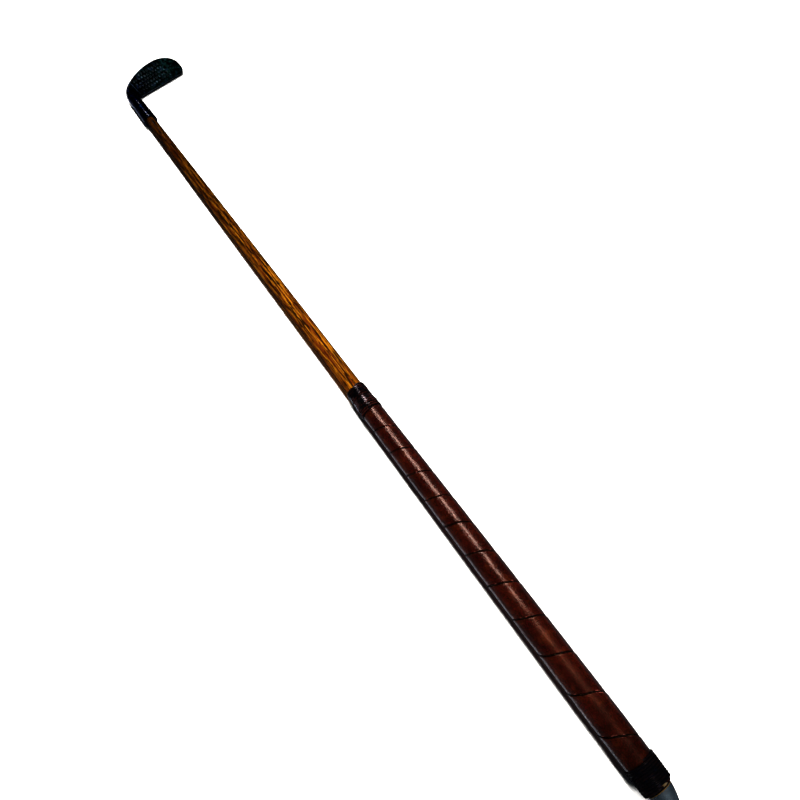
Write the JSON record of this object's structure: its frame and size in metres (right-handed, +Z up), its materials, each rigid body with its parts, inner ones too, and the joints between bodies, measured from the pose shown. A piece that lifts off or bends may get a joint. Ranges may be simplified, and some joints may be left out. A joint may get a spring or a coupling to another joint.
{
  "type": "hickory golf iron",
  "caption": "Golf iron with a forged round-toed blade, a tapered hickory shaft, a spiral leather grip and thread whippings, lying face up.",
  "frame": {"origin": "on the surface that the club lies on, under the middle of its box", "axes": "+Y from the butt to the head, +X towards the toe, +Z up, with the face upwards"},
  "size_m": [0.0962, 0.991, 0.0246],
  "materials": {
    "iron": "forged iron, browned almost black, worn bright at its edges",
    "hickory": "varnished hickory with long dark flecks",
    "listing": "plain cloth listing",
    "grip_leather": "glossy red-brown grip leather",
    "cap_leather": "black leather, worn at the rim",
    "thread": "black waxed thread",
    "brass": "dull brass"
  },
  "bodies": {
    "root": {"iron_head": "iron", "hosel_pin": "iron", "hickory_shaft": "hickory", "grip_underlisting": "listing", "grip_leather": "grip_leather", "top_whipping": "thread", "butt_whipping": "thread", "strip_tack": "brass", "butt_cap": "cap_leather", "butt_tack": "brass"}
  },
  "joints": []
}
